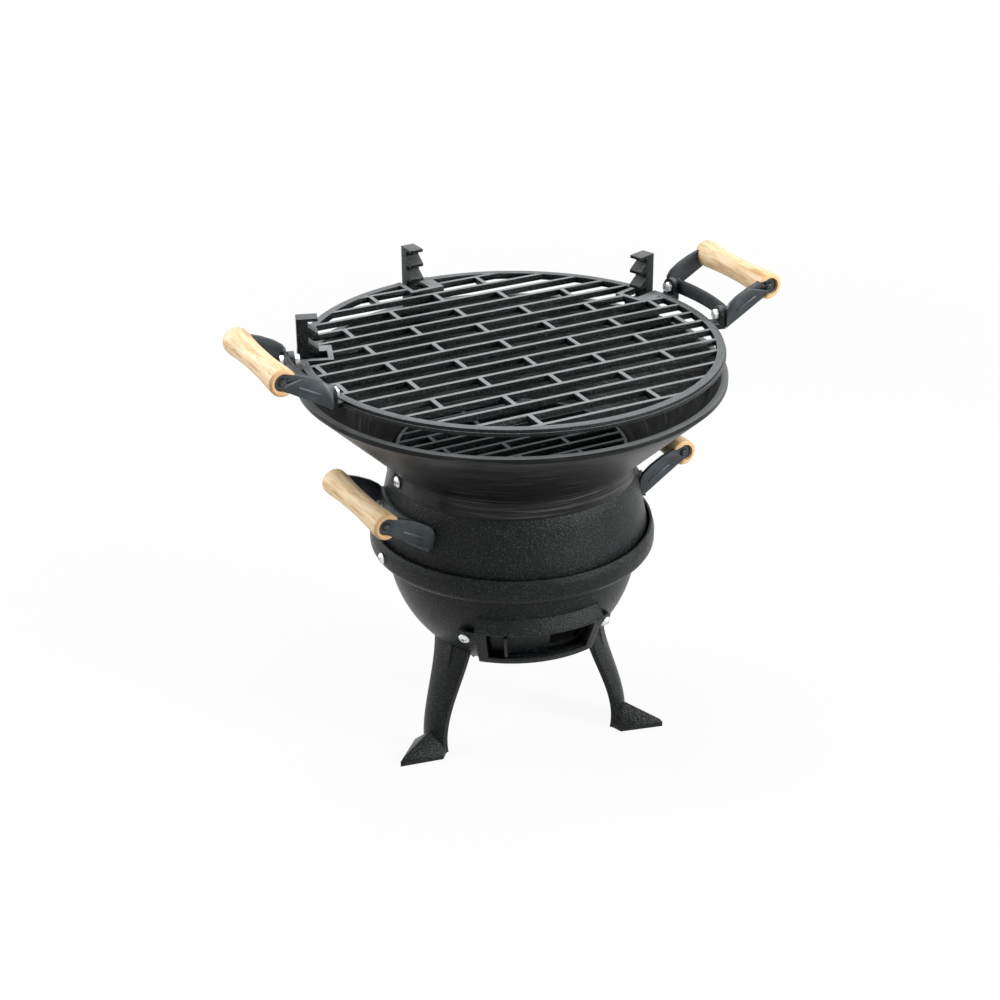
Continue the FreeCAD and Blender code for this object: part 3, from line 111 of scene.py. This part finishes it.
def castIron(name, top=None):
    material, tree, shader, where = newMaterial(name)
    grain = addNode(tree, "ShaderNodeTexNoise",
                    {"Scale": perMetre(ironLook["grainMm"]), "Detail": ironLook["grainDetail"],
                     "Roughness": ironLook["grainBreak"]}, {"Vector": where})
    blotch = addNode(tree, "ShaderNodeTexNoise",
                     {"Scale": perMetre(ironLook["blotchMm"]), "Detail": ironLook["blotchDetail"]},
                     {"Vector": where})
    patches = addNode(tree, "ShaderNodeMath", {"operation": "MULTIPLY", 1: ironLook["blotchShare"]},
                      {0: blotch.outputs["Fac"]})
    mixed = addNode(tree, "ShaderNodeMath", {"operation": "MULTIPLY_ADD", 1: ironLook["grainShare"]},
                    {0: grain.outputs["Fac"], 2: patches.outputs[0]})
    # the lightest stop of this ramp paints glints on the grain
    colour = addNode(tree, "ShaderNodeValToRGB", {"stops": ironLook["colours"]}, {"Fac": mixed.outputs[0]})
    painted = colour.outputs["Color"]
    # faces that look up blend toward a lighter colour: painted sheen together with rubbing
    if top:
        facing = addNode(tree, "ShaderNodeNewGeometry")
        axes = addNode(tree, "ShaderNodeSeparateXYZ", {}, {"Vector": facing.outputs["Normal"]})
        upwardSheenAndRub = addNode(tree, "ShaderNodeMapRange",
                         {"From Min": sheenAndRubLook["levelFrom"], "From Max": sheenAndRubLook["levelTo"],
                          "To Max": sheenAndRubLook["most"]}, {"Value": axes.outputs["Z"]})
        uneven = addNode(tree, "ShaderNodeMath",
                         {"operation": "MULTIPLY_ADD", 1: sheenAndRubLook["grainShare"], 2: sheenAndRubLook["least"]},
                         {0: grain.outputs["Fac"]})
        sheenAndWear = addNode(tree, "ShaderNodeMath", {"operation": "MULTIPLY"},
                       {0: upwardSheenAndRub.outputs["Result"], 1: uneven.outputs[0]})
        shown = addNode(tree, "ShaderNodeMix", {"data_type": "RGBA", 7: srgb(top["bareAndSheen"])},
                        {0: sheenAndWear.outputs[0], 6: painted})
        painted = shown.outputs[2]
        if "ring" in top:
            flat = addNode(tree, "ShaderNodeVectorMath", {"operation": "MULTIPLY", 1: (1, 1, 0)},
                           {0: where})
            radius = addNode(tree, "ShaderNodeVectorMath", {"operation": "LENGTH"}, {0: flat.outputs[0]})
            onRing = addNode(tree, "ShaderNodeMapRange",
                             {"From Min": top["ringFrom"], "From Max": top["ringTo"]},
                             {"Value": radius.outputs["Value"]})
            bareAndSheen = addNode(tree, "ShaderNodeMix",
                           {"data_type": "RGBA", 6: srgb(top["bareAndSheen"]), 7: srgb(top["ring"])},
                           {0: onRing.outputs["Result"]})
            tree.links.new(bareAndSheen.outputs[2], shown.inputs[7])
    tree.links.new(painted, shader.inputs["Base Color"])
    smoothest, roughest = ironLook["roughness"]
    rough = addNode(tree, "ShaderNodeMapRange", {"To Min": smoothest, "To Max": roughest},
                    {"Value": blotch.outputs["Fac"]})
    tree.links.new(rough.outputs["Result"], shader.inputs["Roughness"])
    bump = addNode(tree, "ShaderNodeBump",
                   {"Strength": ironLook["grainStrength"], "Distance": ironLook["grainDepth"]},
                   {"Height": grain.outputs["Fac"]})
    tree.links.new(bump.outputs["Normal"], shader.inputs["Normal"])
    shader.inputs["Specular IOR Level"].default_value = ironLook["specular"]
    return material


# the funnel was turned after casting: level grey streaks round it, and a painted highlight on the flat top
# of its rim
funnelLook = {
    "colours": ((0.3, "#060606"), (0.52, "#121313"), (0.72, "#464847")),  # hollows, wall, streaks
    "streakMm": 1.6,  # real tool marks are finer; drawn coarser so that they show
    "streakRunMm": 60.0,
    "streakDetail": 5.0,
    "streakBreak": 0.65,
    "streakDepth": 0.0004,
    "streakStrength": 0.45,
    "rim": "#6f7273",  # the flat top of the rim has a painted highlight
    "rimFrom": 0.86,  # upward part of the face's normal
    "rimTo": 0.97,
    "rimMost": 0.8,
    "roughness": 0.36,
    "specular": 0.16,
}


def turnedIron():
    material, tree, shader, where = newMaterial("turnedCastIron")
    level = perMetre(funnelLook["streakRunMm"])
    tall = perMetre(funnelLook["streakMm"])
    squeezed = addNode(tree, "ShaderNodeMapping", {"Scale": (level, level, tall)}, {"Vector": where})
    streak = addNode(tree, "ShaderNodeTexNoise",
                     {"Scale": 1.0, "Detail": funnelLook["streakDetail"],
                      "Roughness": funnelLook["streakBreak"]}, {"Vector": squeezed.outputs["Vector"]})
    colour = addNode(tree, "ShaderNodeValToRGB", {"stops": funnelLook["colours"]},
                     {"Fac": streak.outputs["Fac"]})
    # faces that look up blend toward a lighter colour: a painted highlight on the rim's flat top
    facing = addNode(tree, "ShaderNodeNewGeometry")
    axes = addNode(tree, "ShaderNodeSeparateXYZ", {}, {"Vector": facing.outputs["Normal"]})
    onRim = addNode(tree, "ShaderNodeMapRange",
                    {"From Min": funnelLook["rimFrom"], "From Max": funnelLook["rimTo"],
                     "To Max": funnelLook["rimMost"]}, {"Value": axes.outputs["Z"]})
    shown = addNode(tree, "ShaderNodeMix", {"data_type": "RGBA", 7: srgb(funnelLook["rim"])},
                    {0: onRim.outputs["Result"], 6: colour.outputs["Color"]})
    tree.links.new(shown.outputs[2], shader.inputs["Base Color"])
    bump = addNode(tree, "ShaderNodeBump",
                   {"Strength": funnelLook["streakStrength"], "Distance": funnelLook["streakDepth"]},
                   {"Height": streak.outputs["Fac"]})
    tree.links.new(bump.outputs["Normal"], shader.inputs["Normal"])
    shader.inputs["Roughness"].default_value = funnelLook["roughness"]
    shader.inputs["Specular IOR Level"].default_value = funnelLook["specular"]
    return material


# pressed sheet steel, dark phosphate finish: even blue-grey satin with faint handling marks
strapLook = {
    "colours": ((0.35, "#292d30"), (0.75, "#3a4145")),  # plain and handled
    "markMm": 11.0,
    "markDetail": 6.0,
    "roughness": (0.36, 0.46),
    "metallic": 0.35,
}


def darkSteel():
    material, tree, shader, where = newMaterial("phosphatedSheetSteel")
    marks = addNode(tree, "ShaderNodeTexNoise",
                    {"Scale": perMetre(strapLook["markMm"]), "Detail": strapLook["markDetail"]},
                    {"Vector": where})
    colour = addNode(tree, "ShaderNodeValToRGB", {"stops": strapLook["colours"]},
                     {"Fac": marks.outputs["Fac"]})
    tree.links.new(colour.outputs["Color"], shader.inputs["Base Color"])
    smoothest, roughest = strapLook["roughness"]
    rough = addNode(tree, "ShaderNodeMapRange", {"To Min": smoothest, "To Max": roughest},
                    {"Value": marks.outputs["Fac"]})
    tree.links.new(rough.outputs["Result"], shader.inputs["Roughness"])
    shader.inputs["Metallic"].default_value = strapLook["metallic"]
    return material


# bright zinc plate on steel screws: pale, slightly mottled metal
zincLook = {
    "colours": ((0.25, "#a4a7a9"), (0.6, "#eceeee")),
    "mottleMm": 1.2,
    "mottleDetail": 2.0,
    "roughness": 0.4,
}
# blackened steel of the grip rods: dull, with a few brighter rubs
rodLook = {
    "colours": ((0.25, "#26282a"), (0.6, "#54585a")),
    "mottleMm": 1.8,
    "mottleDetail": 2.0,
    "roughness": 0.45,
}


def mottledMetal(name, look):
    material, tree, shader, where = newMaterial(name)
    mottle = addNode(tree, "ShaderNodeTexNoise",
                     {"Scale": perMetre(look["mottleMm"]), "Detail": look["mottleDetail"]},
                     {"Vector": where})
    colour = addNode(tree, "ShaderNodeValToRGB", {"stops": look["colours"]}, {"Fac": mottle.outputs["Fac"]})
    tree.links.new(colour.outputs["Color"], shader.inputs["Base Color"])
    shader.inputs["Metallic"].default_value = 1.0
    shader.inputs["Roughness"].default_value = look["roughness"]
    return material


# turned birch, unvarnished: short fibres along the grip under a broad figure, darker orange end grain
woodLook = {
    "colours": ((0.52, "#ecdab8"), (0.8, "#dcc096"), (1.0, "#bf9868")),  # pale, middle and dark wood
    "fibreMm": 0.8,  # real fibres are finer; drawn coarser so that they show
    "fibreRunMm": 10.0,
    "fibreDetail": 4.0,
    "fibreBreak": 0.6,
    "fibreShare": 0.6,
    "fibreDepth": 0.0003,
    "fibreStrength": 0.25,
    "figureScale": 0.22,  # against the fibres
    "figureDetail": 2.0,
    "figureWander": 0.6,
    "end": "#cc9d68",
    "endFrom": 0.046,  # metres from the grip's middle
    "endTo": 0.049,
    "endMost": 0.7,
    "roughness": 0.55,
}


def turnedBirch(name, turnDegrees, centre):
    material, tree, shader, where = newMaterial(name)
    turn = (0, 0, math.radians(turnDegrees))
    local = addNode(tree, "ShaderNodeMapping",
                    {"vector_type": "TEXTURE", "Location": centre, "Rotation": turn}, {"Vector": where})
    across = perMetre(woodLook["fibreMm"])
    along = perMetre(woodLook["fibreRunMm"])
    fibres = addNode(tree, "ShaderNodeMapping", {"Scale": (across, along, across)},
                     {"Vector": local.outputs["Vector"]})
    fine = addNode(tree, "ShaderNodeTexNoise",
                   {"Scale": 1.0, "Detail": woodLook["fibreDetail"], "Roughness": woodLook["fibreBreak"]},
                   {"Vector": fibres.outputs["Vector"]})
    broad = addNode(tree, "ShaderNodeTexNoise",
                    {"Scale": woodLook["figureScale"], "Detail": woodLook["figureDetail"],
                     "Distortion": woodLook["figureWander"]}, {"Vector": fibres.outputs["Vector"]})
    both = addNode(tree, "ShaderNodeMath", {"operation": "MULTIPLY_ADD", 1: woodLook["fibreShare"]},
                   {0: fine.outputs["Fac"], 2: broad.outputs["Fac"]})
    colour = addNode(tree, "ShaderNodeValToRGB", {"stops": woodLook["colours"]}, {"Fac": both.outputs[0]})
    axes = addNode(tree, "ShaderNodeSeparateXYZ", {}, {"Vector": local.outputs["Vector"]})
    away = addNode(tree, "ShaderNodeMath", {"operation": "ABSOLUTE"}, {0: axes.outputs["Y"]})
    atEnd = addNode(tree, "ShaderNodeMapRange",
                    {"From Min": woodLook["endFrom"], "From Max": woodLook["endTo"],
                     "To Max": woodLook["endMost"]}, {"Value": away.outputs[0]})
    shade = addNode(tree, "ShaderNodeMix", {"data_type": "RGBA", 7: srgb(woodLook["end"])},
                    {0: atEnd.outputs["Result"], 6: colour.outputs["Color"]})
    tree.links.new(shade.outputs[2], shader.inputs["Base Color"])
    bump = addNode(tree, "ShaderNodeBump",
                   {"Strength": woodLook["fibreStrength"], "Distance": woodLook["fibreDepth"]},
                   {"Height": fine.outputs["Fac"]})
    tree.links.new(bump.outputs["Normal"], shader.inputs["Normal"])
    shader.inputs["Roughness"].default_value = woodLook["roughness"]
    return material


# edges are rounded as a casting, a pressing or a turned piece would have them, in metres
edgeRounding = {"casting": 0.0009, "grate": 0.0007, "sheet": 0.0004, "wood": 0.0012, "screw": 0.0003}
edgeLook = {"weldWithin": 0.000005, "segments": 2, "sharperThan": 32}  # metres, steps, degrees


def finishNode(name, material, edge):
    piece = nodes[name]
    piece.data.materials.clear()
    piece.data.materials.append(material)
    for polygon in piece.data.polygons:
        polygon.use_smooth = True
        polygon.material_index = 0
    weld = piece.modifiers.new("weld", "WELD")
    weld.merge_threshold = edgeLook["weldWithin"]
    bevel = piece.modifiers.new("edges", "BEVEL")
    bevel.width = edgeRounding[edge]
    bevel.segments = edgeLook["segments"]
    bevel.limit_method = "ANGLE"
    bevel.angle_limit = math.radians(edgeLook["sharperThan"])
    bevel.use_clamp_overlap = True
    bevel.harden_normals = True


blackIron = castIron("heatProofBlackCastIron")
grateIron = castIron("sheenAndRubbedBlackCastIron", grateTop)
coalIron = castIron("sheenAndRubbedCoalCastIron", coalTop)
postIron = castIron("sheenAndRubbedPostCastIron", postTop)
funnelIron = turnedIron()
strapSteel = darkSteel()
zinc = mottledMetal("brightZincPlate", zincLook)
rodSteel = mottledMetal("blackenedSteelRod", rodLook)

for name in ("base_bowl", "leg_back", "leg_left", "leg_right", "vent_frame", "vent_slider", "body_ring"):
    finishNode(name, blackIron, "casting")
for name in ("post_right", "post_back", "post_left"):
    finishNode(name, postIron, "casting")
finishNode("fire_bowl", funnelIron, "casting")
finishNode("cooking_grate", grateIron, "grate")
finishNode("charcoal_grate", coalIron, "grate")
for name in ("side_strap_right", "side_strap_left", "grate_strap_right", "grate_strap_left"):
    finishNode(name, strapSteel, "sheet")
for name in ("leg_bolts", "vent_screws", "vent_nuts", "band_screws", "band_nuts", "neck_screws",
             "neck_nuts", "side_bolts", "side_nuts", "grate_bolts", "grate_nuts"):
    finishNode(name, zinc, "screw")
for name in ("side_rod_right", "side_rod_left", "grate_rod_right", "grate_rod_left"):
    finishNode(name, rodSteel, "screw")

gripTurns = {  # degrees round the bowl
    "grate_grip_right": 14.5,
    "grate_grip_left": 194.5,
    "side_grip_right": 16.0,
    "side_grip_left": 196.0,
}
for name, turn in gripTurns.items():
    low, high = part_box(name)
    finishNode(name, turnedBirch("turnedBirch_" + name, turn, (low + high) / 2), "wood")
print("materials done:", len(bpy.data.materials))


# a bead pressed outward along each strap arm, in metres; a run gives reach and height of its two ends
beadLook = {
    "width": 0.0032,
    "rise": 0.0008,
    "side": 0.047,
    "around": 16,
    "rings": 10,
    "equator": 0.01,  # points this near the ball's middle stay when its caps are drawn apart
}
beadRuns = {
    "grate": ((0.1855, 0.3525), (0.2045, 0.3625)),
    "side": ((0.1055, 0.2135), (0.126, 0.2245)),
}


def addBead(mesh, turn, sign, run):
    outward = Vector((math.cos(turn), math.sin(turn), 0))
    sideways = Vector((-math.sin(turn), math.cos(turn), 0)) * sign
    arm = sideways * beadLook["side"]
    first, last = [outward * reach + Vector((0, 0, height)) + arm for reach, height in run]
    along = (last - first).normalized()
    across = sideways.cross(along)
    ball = bmesh.ops.create_uvsphere(mesh, u_segments=beadLook["around"], v_segments=beadLook["rings"],
                                     radius=1.0)["verts"]
    stretch = (last - first).length / beadLook["width"] - 1  # in radii of the ball
    for sense in (-1, 1):
        cap = [point for point in ball if point.co.z * sense > beadLook["equator"]]
        bmesh.ops.translate(mesh, verts=cap, vec=(0, 0, sense * stretch))
    radius = beadLook["width"] / 2
    place = Matrix((across * radius, sideways * beadLook["rise"], along * radius)).transposed().to_4x4()
    place.translation = (first + last) / 2
    bmesh.ops.transform(mesh, matrix=place, verts=ball)


def makeBeads(grip, turnDegrees):
    handle = grip.split("_")[0]
    mesh = bmesh.new()
    for sign in (-1, 1):
        addBead(mesh, math.radians(turnDegrees), sign, beadRuns[handle])
    bmesh.ops.recalc_face_normals(mesh, faces=mesh.faces)
    data = bpy.data.meshes.new(grip.replace("grip", "beads"))
    mesh.to_mesh(data)
    mesh.free()
    for polygon in data.polygons:
        polygon.use_smooth = True
    data.materials.append(strapSteel)
    beads = bpy.data.objects.new(data.name, data)
    bpy.context.scene.collection.objects.link(beads)
    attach(beads, "grate" if handle == "grate" else "base")


for name, turn in gripTurns.items():
    makeBeads(name, turn)
print("strap beads done")


# a white sweep that the camera and glossy faces see as plain white; it still takes the shadow
sweepLook = {
    "colour": "#b4b4b3",
    "halfSize": 6.0,
    "roughness": 0.9,
    "specular": 0.1,
    "strength": 1.03,
    "nearGlow": 0.9,  # close by, the rest is shaded floor with the shadow
    "nearTo": 0.9,
    "farGlow": 1.0,
    "farFrom": 2.2,  # from here the floor is as white as the room
}
# the room is white to the eye and in mirrored rays, and lights the grill only faintly
roomLook = {"colour": "#ffffff", "glow": 0.3, "white": 1.0}
# soft boxes: place and size in metres, power in watts; all look at the middle of the grill
lampLook = {
    "right": ((1.3, -1.05, 1.0), 0.6, 42.0),
    "left": ((-1.4, 0.6, 1.2), 0.9, 26.0),
    "top": ((0.1, 0.3, 2.3), 1.6, 26.0),
}
lampTarget = (0, 0, 0.2)


def seenRays(tree):
    rays = addNode(tree, "ShaderNodeLightPath")
    mirrored = addNode(tree, "ShaderNodeMath", {"operation": "MAXIMUM"},
                       {0: rays.outputs["Is Glossy Ray"], 1: rays.outputs["Is Transmission Ray"]})
    seen = addNode(tree, "ShaderNodeMath", {"operation": "MAXIMUM"},
                   {0: rays.outputs["Is Camera Ray"], 1: mirrored.outputs[0]})
    return seen.outputs[0]


def makeFloor():
    bpy.ops.mesh.primitive_plane_add(size=sweepLook["halfSize"] * 2)
    floor = bpy.context.object
    floor.name = "studioFloor"
    material, tree, shader, where = newMaterial("mattWhiteSweep")
    shader.inputs["Base Color"].default_value = srgb(sweepLook["colour"])
    shader.inputs["Roughness"].default_value = sweepLook["roughness"]
    shader.inputs["Specular IOR Level"].default_value = sweepLook["specular"]
    distance = addNode(tree, "ShaderNodeVectorMath", {"operation": "LENGTH"}, {0: where})
    fade = addNode(tree, "ShaderNodeMapRange",
                   {"From Min": sweepLook["nearTo"], "From Max": sweepLook["farFrom"],
                    "To Min": sweepLook["nearGlow"], "To Max": sweepLook["farGlow"]},
                   {"Value": distance.outputs["Value"]})
    share = addNode(tree, "ShaderNodeMath", {"operation": "MULTIPLY"},
                    {0: seenRays(tree), 1: fade.outputs["Result"]})
    glow = addNode(tree, "ShaderNodeEmission",
                   {"Color": srgb(roomLook["colour"]), "Strength": sweepLook["strength"]})
    mixed = addNode(tree, "ShaderNodeMixShader", {},
                    {0: share.outputs[0], 1: shader.outputs[0], 2: glow.outputs[0]})
    tree.links.new(mixed.outputs[0], tree.nodes["Material Output"].inputs["Surface"])
    floor.data.materials.append(material)


def makeRoom():
    world = bpy.data.worlds.new("studioRoom")
    bpy.context.scene.world = world
    world.use_nodes = True
    tree = world.node_tree
    strength = addNode(tree, "ShaderNodeMapRange",
                       {"To Min": roomLook["glow"], "To Max": roomLook["white"]}, {"Value": seenRays(tree)})
    background = tree.nodes["Background"]
    background.inputs["Color"].default_value = srgb(roomLook["colour"])
    tree.links.new(strength.outputs["Result"], background.inputs["Strength"])


def makeLamps():
    for name, (spot, size, power) in lampLook.items():
        lamp = bpy.data.lights.new(name + "Softbox", "AREA")
        lamp.size = size
        lamp.energy = power
        holder = bpy.data.objects.new(name + "Softbox", lamp)
        holder.location = spot
        holder.rotation_euler = (Vector(lampTarget) - Vector(spot)).to_track_quat("-Z", "Y").to_euler()
        bpy.context.scene.collection.objects.link(holder)


# the photograph's viewpoint: places in metres, roll in degrees, lens and sensor in millimetres
cameraLook = {
    "eye": (-0.3507, -1.4603, 0.9415),
    "target": (-0.0102, 0.0, 0.2033),
    "roll": -0.33,
    "lens": 72.0,
    "sensor": 36.0,
}


def makeCamera():
    lens = bpy.data.cameras.new("photoCamera")
    lens.lens = cameraLook["lens"]
    lens.sensor_width = cameraLook["sensor"]
    camera = bpy.data.objects.new("photoCamera", lens)
    eye = Vector(cameraLook["eye"])
    aim = (Vector(cameraLook["target"]) - eye).to_track_quat("-Z", "Y").to_matrix()
    camera.rotation_euler = (aim @ Matrix.Rotation(math.radians(cameraLook["roll"]), 3, "Z")).to_euler()
    camera.location = eye
    bpy.context.scene.collection.objects.link(camera)
    bpy.context.scene.camera = camera


makeFloor()
makeRoom()
makeLamps()
makeCamera()
bpy.context.scene.view_settings.view_transform = "Standard"
print("stage and camera done")
